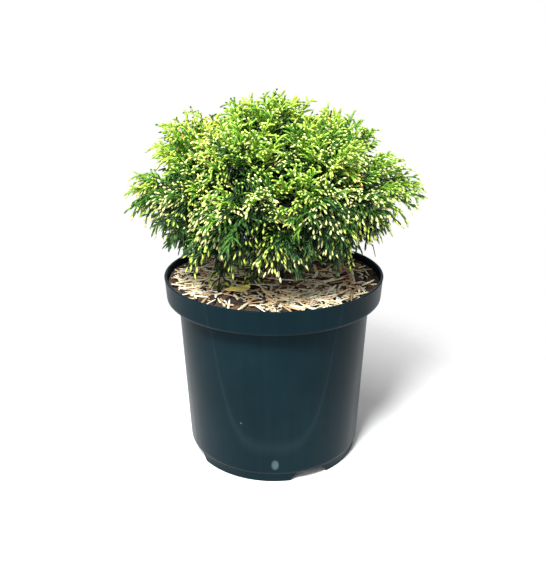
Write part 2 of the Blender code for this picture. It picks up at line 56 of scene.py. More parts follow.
# Shader maths as expressions on sockets
class Shade:
    def __init__(self, tree, socket=None):
        self.tree = tree
        self.socket = socket

    def node(self, kind, settings, values, output=0):
        made = self.tree.nodes.new(kind)
        for name, value in settings.items():
            if name == "stops":
                ramp = made.color_ramp
                for element, (place, colour) in zip(ramp.elements, (value[0], value[-1])):
                    element.position = place
                    element.color = (*colour, 1.0)
                for place, colour in value[1:-1]:
                    ramp.elements.new(place).color = (*colour, 1.0)
            else:
                setattr(made, name, value)
        for key, value in values.items():
            target = made.inputs[key]
            if isinstance(value, Shade):
                self.tree.links.new(value.socket, target)
            elif target.type == "RGBA":
                target.default_value = (*value, 1.0)
            else:
                target.default_value = value
        return Shade(self.tree, made.outputs[output])

    def maths(self, operation, first, second=0.0):
        return self.node("ShaderNodeMath", {"operation": operation}, {0: first, 1: second})

    def absolute(self):
        return self.maths("ABSOLUTE", self)

    def clamped(self):
        return self.node("ShaderNodeClamp", {}, {"Value": self})

    def __add__(self, other):
        return self.maths("ADD", self, other)

    def __sub__(self, other):
        return self.maths("SUBTRACT", self, other)

    def __rsub__(self, other):
        return self.maths("SUBTRACT", other, self)

    def __mul__(self, other):
        return self.maths("MULTIPLY", self, other)


def newMaterial(name, roughness, **fixed):
    material = bpy.data.materials.new(name)
    material.use_nodes = True
    shader = material.node_tree.nodes["Principled BSDF"]
    shader.inputs["Roughness"].default_value = roughness
    for key, value in fixed.items():
        shader.inputs[key.replace("_", " ")].default_value = value
    return material, Shade(material.node_tree), shader


def feed(shader, shade, name):
    shade.tree.links.new(shade.socket, shader.inputs[name])


def objectPlace(shade):
    return shade.node("ShaderNodeTexCoord", {}, {}, "Object")


def mixed(shade, factor, first, second):
    return shade.node("ShaderNodeMix", {"data_type": "RGBA"}, {0: factor, 6: first, 7: second}, 2)


def stretched(shade, where, scale):
    return shade.node("ShaderNodeMapping", {}, {"Vector": where, "Scale": scale})


def vectorMaths(shade, operation, first, second):
    return shade.node("ShaderNodeVectorMath", {"operation": operation}, {0: first, 1: second})


def lengthOf(shade, vector):
    return shade.node("ShaderNodeVectorMath", {"operation": "LENGTH"}, {0: vector}, "Value")


def speckle(shade, where, scale, detail=3.0, rough=0.55):
    values = {"Vector": where, "Scale": scale, "Detail": detail, "Roughness": rough}
    return shade.node("ShaderNodeTexNoise", {}, values)


def bumped(shade, shader, height, strength, distance):
    values = {"Strength": strength, "Distance": distance, "Height": height}
    feed(shader, shade.node("ShaderNodeBump", {}, values), "Normal")


def addPiece(name, mesh, material, slotName, *nodes):
    mesh.materials.append(material)
    piece = bpy.data.objects.new(name, mesh)
    bpy.context.scene.collection.objects.link(piece)
    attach(piece, "root")
    if nodes:
        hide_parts(*nodes)


def meshOf(name, bm, smoothAngle=None):
    mesh = bpy.data.meshes.new(name)
    bm.to_mesh(mesh)
    bm.free()
    if smoothAngle:
        mesh.shade_smooth()
        mesh.set_sharp_from_angle(angle=math.radians(smoothAngle))
    return mesh


# Many small things: one template of triangles, copied with each copy's own points
def joinedCopies(name, points, triangles, smooth=True):
    count, each = points.shape[0], points.shape[1]
    corners = (triangles[None, :, :] + (np.arange(count) * each)[:, None, None]).reshape(-1)
    mesh = bpy.data.meshes.new(name)
    mesh.vertices.add(count * each)
    mesh.vertices.foreach_set("co", points.reshape(-1).astype(np.float32))
    mesh.loops.add(len(corners))
    mesh.loops.foreach_set("vertex_index", corners.astype(np.int32))
    mesh.polygons.add(len(corners) // 3)
    mesh.polygons.foreach_set("loop_start", np.arange(0, len(corners), 3, dtype=np.int32))
    mesh.update(calc_edges=True)
    if smooth:
        mesh.shade_smooth()
    return mesh


# Triangles of a tube of rings, closed by a flat end or by one more point
def ringTriangles(rings, sides, pointed=False):
    faces = []
    for ring in range(rings - 1):
        for side in range(sides):
            here = ring * sides + side
            beside = ring * sides + (side + 1) % sides
            faces += [(here, beside, beside + sides), (here, beside + sides, here + sides)]
    faces += [(0, side + 1, side) for side in range(1, sides - 1)]
    last = (rings - 1) * sides
    if pointed:
        faces += [(last + side, last + (side + 1) % sides, rings * sides) for side in range(sides)]
    else:
        faces += [(last, last + side, last + side + 1) for side in range(1, sides - 1)]
    return np.array(faces)


def unit(rows):
    return rows / np.maximum(np.linalg.norm(rows, axis=1, keepdims=True), 1e-9)


# Strands: each has a start, a heading, a length, a radius and a bend; stations give place and girths
def strandPoints(strands, stations, sides, apex=None):
    start, heading, length, radius, bend = strands
    heading = unit(heading)
    steep = np.abs(heading[:, 2:3]) > steepest
    across = unit(np.cross(heading, np.where(steep, [[0.0, 1.0, 0.0]], [[0.0, 0.0, 1.0]])))
    above = np.cross(across, heading)
    points = []
    for place, wide, tall in stations:
        middle = start + (heading * place + bend * place**2) * length[:, None]
        for side in range(sides):
            angle = math.tau * side / sides
            offset = across * (wide * math.cos(angle)) - above * (tall * math.sin(angle))
            points.append(middle + offset * radius[:, None])
    if apex:
        points.append(start + (heading * apex + bend * apex**2) * length[:, None])
    return np.stack(points, axis=1)


# Pot: a turned moulding with an undercut collar and a notched foot ring
pot = {
    "rimRadius": 0.1125,
    "rimWidth": 0.0026,
    "lipSteps": 6,
    "lipFlat": 0.6,  # height of the lip's round, by its half width
    "collarDepth": 0.0244,
    "collarFootRadius": 0.1108,
    "collarCurve": ((0.0002, 5), (-0.0001, 2), (-0.0012, 0.3), (-0.0026, 0)),  # out, edges over the shelf
    "wallTopRadius": 0.0990,
    "shelfCurve": ((2, -0.4), (0.3, -1), (0, -3)),  # edges out, edges over the shelf
    "wallFootRadius": 0.0920,
    "wall": 0.0018,
    "footRadius": 0.0901,
    "footHeight": 0.0096,
    "footWidth": 0.0028,
    "floorThickness": 0.0022,
    "edge": 0.0008,
    "draft": 0.0002,
    "turnSteps": 160,
    "sharpOver": 34,
    "notches": 4,
    "firstNotch": 24.0,
    "notchHalfTop": 0.0144,
    "notchHalfFoot": 0.02392,
    "notchHeight": 0.0092,
    "notchDepth": 0.03,
    "cutPast": 0.003,
    "drainHoles": 6,
    "drainRadius": 0.0050,
    "drainCircle": 0.0660,
    "drainDepth": 0.02,
    "drainSides": 24,
    "colour": (0.0022, 0.0100, 0.0145),
    "lighter": (0.0044, 0.0190, 0.0260),
    "roughness": 0.27,
    "gloss": 0.05,
    # colour of the scuffs and worn marks, and of the painted sheen line
    "scuffAndSheen": (0.10, 0.15, 0.17),
    "marks": (  # place and half size of a scuff low on the front and of a small speck
        ((0.0012, -0.0925, 0.0216), (0.0040, 0.02, 0.0062)),
        ((-0.0323, -0.0884, 0.0679), (0.0011, 0.02, 0.0011)),
    ),
    # a painted reflection: a bowl-shaped sheen line on the front wall, with its foot, rise, half width and
    # strength
    "bowlFoot": 0.042,
    "bowlRise": 0.125,
    "bowlHalfWidth": 0.060,
    "paintedSheen": 0.045,
    "sheenThinness": 90.0,
    "sheenSides": -40.0,  # how fast the line comes in from the sides to the front
    "streakScale": (150, 150, 5),
    "cloudScale": 14.0,
    "scratchScale": (40, 40, 400),
    "relief": 0.0004,
}


def roundDirection(degrees, lift=0.0):
    turn, rise = math.radians(degrees), math.radians(lift)
    return Vector((math.cos(rise) * math.sin(turn), -math.cos(rise) * math.cos(turn), math.sin(rise)))


def potProfile():
    p = pot
    edge = p["edge"]
    shelf = rimHeight - p["collarDepth"]
    under = p["footHeight"] + edge
    floor = under + p["floorThickness"]
    inner = p["footRadius"] - p["footWidth"]
    outline = [
        (0.0, floor),
        (p["wallFootRadius"] - 2 * p["wall"], floor),
        (p["wallFootRadius"] - p["wall"], floor + p["wall"]),
        (p["wallTopRadius"] - p["wall"], shelf + p["wall"] - edge),
        (p["wallTopRadius"], shelf + p["wall"]),
        (p["collarFootRadius"] - p["wall"], shelf + p["wall"] + edge),
        (p["rimRadius"] - p["rimWidth"], rimHeight - p["rimWidth"]),
    ]
    half = 0.5 * p["rimWidth"]
    for step in range(p["lipSteps"] + 1):  # the lip is rounded over
        angle = math.pi * (1.0 - step / p["lipSteps"])
        height = rimHeight - p["lipFlat"] * half * (1.0 - math.sin(angle))
        outline.append((p["rimRadius"] - half + half * math.cos(angle), height))
    outline.append((p["rimRadius"] - 2 * p["draft"], rimHeight - 3 * edge))
    outline += [(p["collarFootRadius"] + out, shelf + over * edge) for out, over in p["collarCurve"]]
    outline += [(p["wallTopRadius"] + out * edge, shelf + over * edge) for out, over in p["shelfCurve"]]
    outline += [
        (p["wallFootRadius"] + p["draft"], under + 4 * edge),
        (p["wallFootRadius"] - 0.2 * edge, under + edge),
        (p["footRadius"] + 0.4 * edge, under - edge),
        (p["footRadius"], p["footHeight"] - edge),
        (p["footRadius"] - p["draft"], edge),
        (p["footRadius"] - edge, 0.0),
        (inner, 0.0),
        (inner, under),
        (0.0, under),
    ]
    return outline


def spun(profile, steps):
    bm = bmesh.new()
    verts = [bm.verts.new((radius, 0.0, height)) for radius, height in profile]
    edges = [bm.edges.new(pair) for pair in zip(verts, verts[1:])]
    outline = verts + edges
    bmesh.ops.spin(bm, geom=outline, axis=(0, 0, 1), angle=math.tau, steps=steps, use_merge=True)
    bmesh.ops.remove_doubles(bm, verts=bm.verts, dist=1e-6)
    bmesh.ops.recalc_face_normals(bm, faces=bm.faces)
    return bm


def potCutters():
    p = pot
    bm = bmesh.new()
    for index in range(p["notches"]):
        made = bmesh.ops.create_cube(bm, size=1.0)["verts"]
        for vert in made:
            top = vert.co.z > 0
            half = p["notchHalfTop"] if top else p["notchHalfFoot"]
            height = p["notchHeight"] if top else -p["cutPast"]
            away = vert.co.y * p["notchDepth"] - p["footRadius"]
            vert.co = (math.copysign(half, vert.co.x), away, height)
        turn = Matrix.Rotation(math.radians(p["firstNotch"] + index * 360.0 / p["notches"]), 4, "Z")
        bmesh.ops.transform(bm, verts=made, matrix=turn)
    for index in range(p["drainHoles"]):
        middle = roundDirection((index + 0.5) * 360.0 / p["drainHoles"]) * p["drainCircle"]
        bmesh.ops.create_cone(
            bm,
            cap_ends=True,
            segments=p["drainSides"],
            radius1=p["drainRadius"],
            radius2=p["drainRadius"],
            depth=p["drainDepth"],
            matrix=Matrix.Translation(middle + up * p["footHeight"]),
        )
    return meshOf("potCutters", bm)


def potMaterial():
    p = pot
    material, shade, shader = newMaterial("potPlastic", p["roughness"], Specular_IOR_Level=p["gloss"])
    where = objectPlace(shade)
    axes = shade.node("ShaderNodeSeparateXYZ", {}, {"Vector": where})
    x, y, z = (Shade(shade.tree, axes.socket.node.outputs[name]) for name in "XYZ")
    streaks = speckle(shade, stretched(shade, where, p["streakScale"]), 1.0, 4.0)
    cloud = speckle(shade, where, p["cloudScale"])
    tone = ((streaks - 0.5) * 0.7 + (cloud - 0.5) * 1.3 + 0.42).clamped()
    plain = mixed(shade, tone, p["colour"], p["lighter"])
    # a faint bowl-shaped painted sheen line on the front wall only, a painted reflection mixed into the
    # colour
    curve = p["bowlRise"] / p["bowlHalfWidth"] ** 4
    bowl = (z - p["bowlFoot"]) - (x * x) * (x * x) * curve
    line = (1.0 - bowl.absolute() * p["sheenThinness"]).clamped() * (y * p["sheenSides"]).clamped()
    scratches = speckle(shade, stretched(shade, where, p["scratchScale"]), 3.0, 5.0, 0.7)
    worn = ((scratches - 0.66) * 9.0).clamped() * ((cloud - 0.45) * 6.0).clamped()
    marks = worn * 0.30
    for place, size in p["marks"]:
        offset = vectorMaths(shade, "SUBTRACT", where, place)
        far = lengthOf(shade, vectorMaths(shade, "DIVIDE", offset, size))
        marks = marks + ((1.1 - far) * 2.0).clamped() * (streaks * 1.1).clamped()
    # the scuffs and the painted sheen line both lighten the colour
    feed(shader, mixed(shade, (marks + line * p["paintedSheen"]).clamped(), plain, p["scuffAndSheen"]), "Base Color")
    rough = (streaks - 0.5) * 0.16 + cloud * 0.12 + marks * 0.3 + p["roughness"]
    feed(shader, rough.clamped(), "Roughness")
    bumped(shade, shader, streaks * 0.6 + scratches * 0.4, 0.10, p["relief"])
    return material


def makePot():
    mesh = meshOf("potBody", spun(potProfile(), pot["turnSteps"]))
    body = bpy.data.objects.new("potShaping", mesh)
    cutters = bpy.data.objects.new("potCutters", potCutters())
    for made in (body, cutters):
        bpy.context.scene.collection.objects.link(made)
    cut = body.modifiers.new("Notches", "BOOLEAN")
    cut.operation = "DIFFERENCE"
    cut.object = cutters
    cut.solver = "EXACT"
    shaped = bpy.data.meshes.new_from_object(body.evaluated_get(bpy.context.evaluated_depsgraph_get()))
    for made in (body, cutters):
        bpy.data.objects.remove(made, do_unlink=True)
    shaped.materials.clear()
    shaped.shade_smooth()
    shaped.set_sharp_from_angle(angle=math.radians(pot["sharpOver"]))
    addPiece("nursery_pot", shaped, potMaterial(), "pot_plastic", "pot")
    print("pot turned:", len(shaped.polygons), "faces")


# Compost below, and shredded wood and bark on top
mulch = {
    "top": rimHeight - 0.0075,
    "edgeRadius": 0.1088,
    "relief": 0.0016,
    "reliefScale": 90.0,
    "rings": 34,
    "turnSteps": 110,
    "bedColour": (0.060, 0.038, 0.025),
    "barks": ((0.060, 0.034, 0.021), (0.150, 0.075, 0.042), (0.028, 0.018, 0.013)),
    "crumbs": 1500,
    "crumbInset": 0.003,
    "crumbSize": (0.0007, 0.0024),
    "crumbShape": (1.2, 1.0, 0.7),
    "crumbLift": 0.0004,
    "chips": 150,
    "chipInset": 0.009,
    "chipInner": 0.02,
    "chipSize": (0.0072, 0.0038, 0.0016),
    "chipSpread": (0.6, 1.25),
    "chipLift": (0.0005, 0.0018),
    "lumpJitter": (0.72, 1.18),
    "lumpSquare": 0.6,
    "lumpLean": 0.35,
    "straws": ((0.92, 0.74, 0.46), (1.0, 0.92, 0.70), (0.60, 0.39, 0.21)),
    "strawShares": (0.38, 0.27, 0.35),
    "shreds": 760,
    "shredInset": 0.010,
    "shredClear": 0.001,
    "shredSize": (0.016, 0.0013, 0.0005),  # long, wide, thick
    "shredLengths": (0.45, 1.5),
    "shredWidths": (0.5, 1.5),
    "shredLift": (0.0008, 0.0042),
    "shredSlope": 0.16,
    "shredBend": 0.09,
    "shredStations": (  # place along the shred, width, thickness
        (0, 0.4, 1),
        (0.1, 0.9, 1),
        (0.35, 1.1, 1.2),
        (0.65, 1.0, 1),
        (0.9, 0.75, 1),
        (1, 0.3, 1),
    ),
    # pale shreds lie thick to the front right and at the left: middle, spread, share
    "heaps": (((0.045, -0.070), (0.050, 0.035), 1.0), ((-0.085, -0.030), (0.030, 0.045), 0.8)),
    "leastShreds": 0.16,
    "fibres": 34,
    "fibreReach": 0.075,
    "fibreLift": 0.001,
    "fibreSlope": (0.15, 0.5),
    "fibreSway": 0.15,
    "fibreSag": (-0.5, -0.2),
    "fibreLength": (0.018, 0.036),
    "fibreGirth": (0.0003, 0.0005),
    "fibreColour": (0.62, 0.52, 0.36),
    "fibreStations": ((0, 1, 1), (0.25, 0.9, 0.9), (0.5, 0.8, 0.8), (0.75, 0.7, 0.7), (1, 0.4, 0.4)),
}


def bedHeight(x, y):
    rough = noise.fractal(Vector((x, y, 0.3)) * mulch["reliefScale"], 0.8, 2.1, 4)
    return mulch["top"] + mulch["relief"] * rough


def woodMaterial(name, colour, contrast, roughness=0.88):
    material, shade, shader = newMaterial(name, roughness)
    where = objectPlace(shade)
    grain = speckle(shade, where, 900.0, 4.0, 0.65)
    patch = speckle(shade, where, 70.0, 2.0)
    dark = tuple(part * (1.0 - contrast) for part in colour)
    light = tuple(min(part * (1.0 + 0.6 * contrast), 1.0) for part in colour)
    feed(shader, mixed(shade, (grain * 0.8 + patch * 0.9 - 0.35).clamped(), dark, light), "Base Color")
    bumped(shade, shader, grain, 0.5, 0.0004)
    return material


def dressSoil():
    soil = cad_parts["soil"].data
    soil.materials.clear()
    soil.materials.append(woodMaterial("compost", mulch["bedColour"], 0.7, 0.95))


def makeBed():
    edge, top, rings = mulch["edgeRadius"], mulch["top"], mulch["rings"]
    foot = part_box("mulch")[0].z
    profile = [(0.0, top)] + [(edge * ring / rings, top) for ring in range(1, rings + 1)]
    bm = spun(profile + [(edge, foot), (0.0, foot)], mulch["turnSteps"])
    for vert in bm.verts:
        if vert.co.z > top - 1e-5:
            vert.co.z = bedHeight(vert.co.x, vert.co.y)
    bedMaterial = woodMaterial("bedCompost", mulch["bedColour"], 0.75, 0.95)
    addPiece("mulch_bed", meshOf("mulchBed", bm, 60), bedMaterial, "compost", "mulch")


def icoTemplate(level):
    bm = bmesh.new()
    bmesh.ops.create_icosphere(bm, subdivisions=level, radius=1.0)
    bm.verts.ensure_lookup_table()
    points = np.array([vert.co[:] for vert in bm.verts])
    faces = np.array([[vert.index for vert in face.verts] for face in bm.faces])
    bm.free()
    return points, faces


# Loose lumps: squashed, jittered balls, leant and turned every way
def lumps(rng, places, sizes, level):
    template, faces = icoTemplate(level)
    count = len(places)
    jitter = rng.uniform(*mulch["lumpJitter"], (count, len(template), 1))
    square = np.sign(template) * np.abs(template) ** mulch["lumpSquare"]
    points = square[None] * jitter * sizes[:, None, :]
    turn = rng.uniform(0, math.tau, count)
    lean = rng.uniform(-mulch["lumpLean"], mulch["lumpLean"], count)
    tall = points[:, :, 2] * np.cos(lean)[:, None] + points[:, :, 0] * np.sin(lean)[:, None]
    flat = points[:, :, 0] * np.cos(lean)[:, None] - points[:, :, 2] * np.sin(lean)[:, None]
    x = flat * np.cos(turn)[:, None] - points[:, :, 1] * np.sin(turn)[:, None]
    y = flat * np.sin(turn)[:, None] + points[:, :, 1] * np.cos(turn)[:, None]
    return np.stack([x, y, tall], axis=2) + places[:, None, :], faces


def scattered(rng, count, reach, inner=0.0):
    radius = np.sqrt(rng.uniform(inner, 1.0, count)) * reach
    turn = rng.uniform(0, math.tau, count)
    return np.stack([radius * np.cos(turn), radius * np.sin(turn)], axis=1)


def shredShare(x, y):
    thickest = 0.0
    for (middleX, middleY), (spreadX, spreadY), share in mulch["heaps"]:
        away = ((x - middleX) / spreadX) ** 2 + ((y - middleY) / spreadY) ** 2
        thickest = max(thickest, share * math.exp(-away))
    return mulch["leastShreds"] + (1.0 - mulch["leastShreds"]) * thickest


def makeLooseMulch():
    m = mulch
    rng = np.random.default_rng(5)
    edge, barks = m["edgeRadius"], len(m["barks"])
    spots = scattered(rng, m["crumbs"], edge - m["crumbInset"])
    heights = np.array([bedHeight(x, y) for x, y in spots])
    places = np.column_stack([spots, heights + m["crumbLift"]])
    sizes = rng.uniform(*m["crumbSize"], (len(spots), 3)) * m["crumbShape"]
    kinds = rng.integers(0, barks, len(spots))
    chipSpots = scattered(rng, m["chips"], edge - m["chipInset"], m["chipInner"])
    chipPlaces = np.array([(x, y, bedHeight(x, y) + rng.uniform(*m["chipLift"])) for x, y in chipSpots])
    chipSizes = rng.uniform(*m["chipSpread"], (len(chipSpots), 3)) * m["chipSize"]
    chipKinds = rng.integers(0, barks, len(chipSpots))
    for kind, colour in enumerate(m["barks"]):
        material = woodMaterial(f"barkPieces{kind}", colour, 0.6)
        points, faces = lumps(rng, places[kinds == kind], sizes[kinds == kind], 1)
        addPiece(f"bark_crumbs_{kind}", joinedCopies("crumbs", points, faces, False), material, "wood_mulch")
        points, faces = lumps(rng, chipPlaces[chipKinds == kind], chipSizes[chipKinds == kind], 2)
        addPiece(f"bark_chips_{kind}", joinedCopies("chips", points, faces), material, "wood_mulch")
    makeShreds(rng)
    makeFibres(rng)


def shredSpots(rng):
    kept = []
    while len(kept) < mulch["shreds"]:
        x, y = scattered(rng, 1, mulch["edgeRadius"] - mulch["shredInset"])[0]
        if rng.uniform() < shredShare(x, y):
            kept.append((x, y))
    return np.array(kept)


def makeShreds(rng):
    m = mulch
    long, wide, thin = m["shredSize"]
    spots = shredSpots(rng)
    count = len(spots)
    lift = rng.uniform(*m["shredLift"], count)
    turn = rng.uniform(0, math.tau, count)
    slope = rng.uniform(-m["shredSlope"], m["shredSlope"], count)
    heading = np.column_stack([np.cos(turn), np.sin(turn), slope])
    length = long * rng.uniform(*m["shredLengths"], count)
    start = np.column_stack([spots, np.array([bedHeight(x, y) for x, y in spots]) + lift])
    start = start - unit(heading) * length[:, None] * 0.5
    end = start + unit(heading) * length[:, None]
    reach = m["edgeRadius"] - m["shredClear"]
    inside = (np.hypot(end[:, 0], end[:, 1]) < reach) & (np.hypot(start[:, 0], start[:, 1]) < reach)
    bend = rng.normal(0, m["shredBend"], (count, 3)) * [1, 1, 0.5]
    radius = wide * rng.uniform(*m["shredWidths"], count)
    kinds = rng.choice(len(m["straws"]), count, p=m["strawShares"])
    stations = [(place, broad, thin / wide * deep) for place, broad, deep in m["shredStations"]]
    triangles = ringTriangles(len(stations), 4)
    for kind, colour in enumerate(m["straws"]):
        use = inside & (kinds == kind)
        strands = [part[use] for part in (start, heading, length, radius, bend)]
        mesh = joinedCopies("shreds", strandPoints(strands, stations, 4), triangles, False)
        addPiece(f"wood_shreds_{kind}", mesh, woodMaterial(f"shreds{kind}", colour, 0.4, 0.8), "wood_mulch")


def makeFibres(rng):
    m = mulch
    count = m["fibres"]
    spots = scattered(rng, count, m["fibreReach"])
    turn = rng.uniform(0, math.tau, count)
    heading = np.column_stack([np.cos(turn), np.sin(turn), rng.uniform(*m["fibreSlope"], count)])
    start = np.column_stack([spots, np.full(count, m["top"] + m["fibreLift"])])
    length = rng.uniform(*m["fibreLength"], count)
    sway = rng.normal(0, m["fibreSway"], (count, 2))
    bend = np.column_stack([sway, rng.uniform(*m["fibreSag"], count)])
    strands = (start, heading, length, rng.uniform(*m["fibreGirth"], count), bend)
    triangles = ringTriangles(len(m["fibreStations"]), 4)
    mesh = joinedCopies("fibres", strandPoints(strands, m["fibreStations"], 4), triangles)
    addPiece("pale_fibres", mesh, woodMaterial("fibre", m["fibreColour"], 0.3), "wood_mulch")


# One dry yellow leaf lies on the mulch at the front left
leaf = {
    "place": (-0.035, -0.049),
    "length": 0.025,
    "width": 0.013,
    "thickness": 0.0004,
    "bluntness": 0.8,
    "broadEnd": 0.25,
    "turn": 18.0,
    "lift": 0.0042,
    "crease": 0.0012,
    "curl": 0.0016,
    "ripple": 0.0005,
    "colour": (0.95, 0.80, 0.22),
    "veins": (0.80, 0.55, 0.12),
    "veinScale": (300, 900, 300),
}


def leafMesh():
    bm = bmesh.new()
    bmesh.ops.create_grid(bm, x_segments=22, y_segments=10, size=1.0)
    for vert in bm.verts:
        along, side = vert.co.x, vert.co.y
        outline = math.sqrt(max(1.0 - along**2, 0.0)) ** leaf["bluntness"] * (1.0 + leaf["broadEnd"] * along)
        fold = abs(side) * leaf["crease"] + leaf["curl"] * along**2
        fold = fold + leaf["ripple"] * math.sin(5 * along + 3 * side)
        vert.co = (along * leaf["length"] / 2, side * outline * leaf["width"] / 2, fold)
    bmesh.ops.remove_doubles(bm, verts=bm.verts, dist=1e-5)
    bmesh.ops.recalc_face_normals(bm, faces=bm.faces)
    bmesh.ops.solidify(bm, geom=list(bm.faces), thickness=leaf["thickness"])
    place = Matrix.Translation((*leaf["place"], mulch["top"] + leaf["lift"]))
    turn = Matrix.Rotation(math.radians(leaf["turn"]), 4, "Z")
    bmesh.ops.transform(bm, verts=bm.verts, matrix=place @ turn)
    return meshOf("leaf", bm, 50)


def makeLeaf():
    material, shade, shader = newMaterial("dryLeaf", 0.5)
    veins = speckle(shade, stretched(shade, objectPlace(shade), leaf["veinScale"]), 1.0)
    feed(shader, mixed(shade, ((veins - 0.45) * 3.0).clamped(), leaf["colour"], leaf["veins"]), "Base Color")
    bumped(shade, shader, veins, 0.3, 0.0003)
    addPiece("yellow_leaf", leafMesh(), material, "yellow_leaf", "fallen_leaf")


# The plant grows by the same rule as its solids: mound, hearts of the masses, trunk and boughs
plant = {
    "waist": Vector((0.0, 0.0, rimHeight + 0.070)),
    "halfWidth": 0.128,
    "halfDepth": 0.128,
    "rise": 0.1070,
    "drop": 0.070,
    "heart": 0.66,
    "backDepth": 0.024,
    "reachSpread": 38.0,
    "trunkFoot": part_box("trunk")[0].z,
    "trunkHeight": 0.1270,
    "trunkLean": Vector((-0.0030, 0.0020, 0.0)),
    "trunkBend": 0.3,
    "trunkRadii": (  # place up the trunk, radius
        (0.0, 0.0096),
        (0.03, 0.0080),
        (0.09, 0.0064),
        (0.24, 0.0055),
        (0.55, 0.0042),
        (1.0, 0.0024),
    ),
    "trunkSteps": 26,
    "trunkSides": 18,
    "trunkRelief": 0.0006,
    "boughShare": 0.56,
    "boughTip": 0.0017,
    "boughCurve": 0.45,
    "boughSteps": 12,
    "boughSides": 10,
    "boughRelief": 0.00035,
    "stations": {"skirt": (0.11, 0.16, 0.21), "middle": (0.32, 0.38, 0.44), "shoulder": (0.56, 0.62, 0.68)},
    "bark": ((0.055, 0.032, 0.020), (0.21, 0.13, 0.082)),
    "stripScale": (700, 700, 110),
    "ridgeScale": (900, 900, 160),
    "lumpScale": 220,
}

# Degrees round from the front towards +X, degrees up, reach of the tips
massPlaces = {
    "top": (-124, 87.5, 1.00),
    "shoulder_left": (-96, 33, 1.12),
    "shoulder_front_left": (-30, 40, 1.00),
    "shoulder_right": (42, 38, 1.00),
    "shoulder_back_right": (106, 36, 1.04),
    "shoulder_back_left": (180, 38, 1.00),
    "wing_left": (-90, 6, 1.20),
    "side_left": (-55, 8, 1.00),
    "front_left": (-19, 7, 1.04),
    "front_right": (25, 12, 1.04),
    "side_right": (60, 8, 1.00),
    "wing_right": (92, 11, 1.20),
    "back_right": (133, 8, 1.00),
    "back": (180, 8, 1.02),
    "back_left": (-133, 8, 1.02),
    "skirt_left": (-78, -25, 1.00),
    "skirt_front_left": (-38, -27, 1.02),
    "skirt_front": (4, -25, 1.00),
    "skirt_right": (48, -26, 0.94),
    "skirt_back_right": (103, -27, 0.84),
    "skirt_back": (158, -25, 1.00),
    "skirt_back_left": (-148, -25, 1.00),
}


def onMound(direction, reach=1.0):
    x, y, z = direction
    height = plant["rise"] if z > 0 else plant["drop"]
    return plant["waist"] + reach * Vector((x * plant["halfWidth"], y * plant["halfDepth"], z * height))


def trunkPoint(part):
    lean = plant["trunkLean"]
    bend = lean.cross(up) * plant["trunkBend"] * math.sin(math.pi * part)
    return Vector((0, 0, plant["trunkFoot"] + part * plant["trunkHeight"])) + lean * part + bend


def trunkRadius(part):
    places, radii = zip(*plant["trunkRadii"])
    return float(np.interp(part, places, radii))


def growMasses():
    masses, taken = [], {ring: 0 for ring in plant["stations"]}
    for name, (degrees, lift, reach) in massPlaces.items():
        middle = roundDirection(degrees, lift)
        heart = onMound(middle, plant["heart"])
        first = name.split("_")[0]
        station = 1.0
        if first != "top":
            ring = first if first in taken else "middle"
            station = plant["stations"][ring][taken[ring] % 3]
            taken[ring] += 1
        out = (heart - trunkPoint(station)).normalized()
        stem = heart - plant["backDepth"] * out if first != "top" else trunkPoint(1.0)
        mass = dict(name=name, middle=middle, heart=heart, reach=reach, station=station, out=out, stem=stem)
        masses.append(mass)
    return masses


# A limb is a closed ring, extruded from point to point, with noise in its skin for the bark
def limb(bm, points, radii, sides, relief):
    climbs = abs((points[-1] - points[0]).normalized().z) > 0.95
    guide = Vector((0, 1, 0)) if climbs else up
    places = []
    for index, (point, radius) in enumerate(zip(points, radii)):
        run = (points[min(index + 1, len(points) - 1)] - points[max(index - 1, 0)]).normalized()
        level = run.cross(guide).normalized()
        upright = level.cross(run).normalized()
        turn = Matrix((level, upright, run)).transposed().to_4x4()
        places.append(Matrix.Translation(point) @ turn @ Matrix.Scale(radius, 4))
    made = bmesh.ops.create_circle(bm, cap_ends=True, radius=1.0, segments=sides, matrix=places[0])
    everyVert = list(made["verts"])
    cap = made["verts"][0].link_faces[0]
    for before, after in zip(places, places[1:]):
        pulled = bmesh.ops.extrude_face_region(bm, geom=[cap])["geom"]
        moved = [item for item in pulled if isinstance(item, bmesh.types.BMVert)]
        cap = [item for item in pulled if isinstance(item, bmesh.types.BMFace)][0]
        bmesh.ops.transform(bm, verts=moved, matrix=after @ before.inverted())
        everyVert += moved
    bm.normal_update()
    for vert in everyVert:
        ridge = noise.noise(Vector([part * scale for part, scale in zip(vert.co, plant["ridgeScale"])]))
        lump = noise.noise(vert.co * plant["lumpScale"])
        vert.co += vert.normal * relief * (0.7 * ridge + 0.5 * lump)


# Points of a curve that leaves its start towards the middle point and arrives from it
def smoothLine(start, middle, end, steps):
    line = []
    for index in range(steps + 1):
        t = index / steps
        line.append((1 - t) ** 2 * start + 2 * t * (1 - t) * middle + t**2 * end)
    return line


def barkMaterial():
    material, shade, shader = newMaterial("bark", 0.9)
    strips = speckle(shade, stretched(shade, objectPlace(shade), plant["stripScale"]), 1.0, 5.0, 0.7)
    feed(shader, mixed(shade, ((strips - 0.3) * 2.2).clamped(), *plant["bark"]), "Base Color")
    bumped(shade, shader, strips, 0.8, 0.0008)
    return material


def makeLimbs(masses, material):
    bm = bmesh.new()
    steps = plant["trunkSteps"]
    parts = [step / steps for step in range(steps + 1)]
    points, radii = [trunkPoint(part) for part in parts], [trunkRadius(part) for part in parts]
    limb(bm, points, radii, plant["trunkSides"], plant["trunkRelief"])
    steps = plant["boughSteps"]
    carried = [mass for mass in masses if mass["name"] != "top"]
    for mass in carried:
        thick = plant["boughShare"] * trunkRadius(mass["station"])
        start, tip = trunkPoint(mass["station"]), mass["stem"]
        middle = tip - plant["boughCurve"] * (tip - start).length * mass["out"]
        radii = [thick + (plant["boughTip"] - thick) * step / steps for step in range(steps + 1)]
        limb(bm, smoothLine(start, middle, tip, steps), radii, plant["boughSides"], plant["boughRelief"])
    bmesh.ops.recalc_face_normals(bm, faces=bm.faces)
    names = ["trunk"] + ["bough_" + mass["name"] for mass in carried]
    addPiece("trunk_and_boughs", meshOf("limbs", bm, 60), material, "bark", *names)
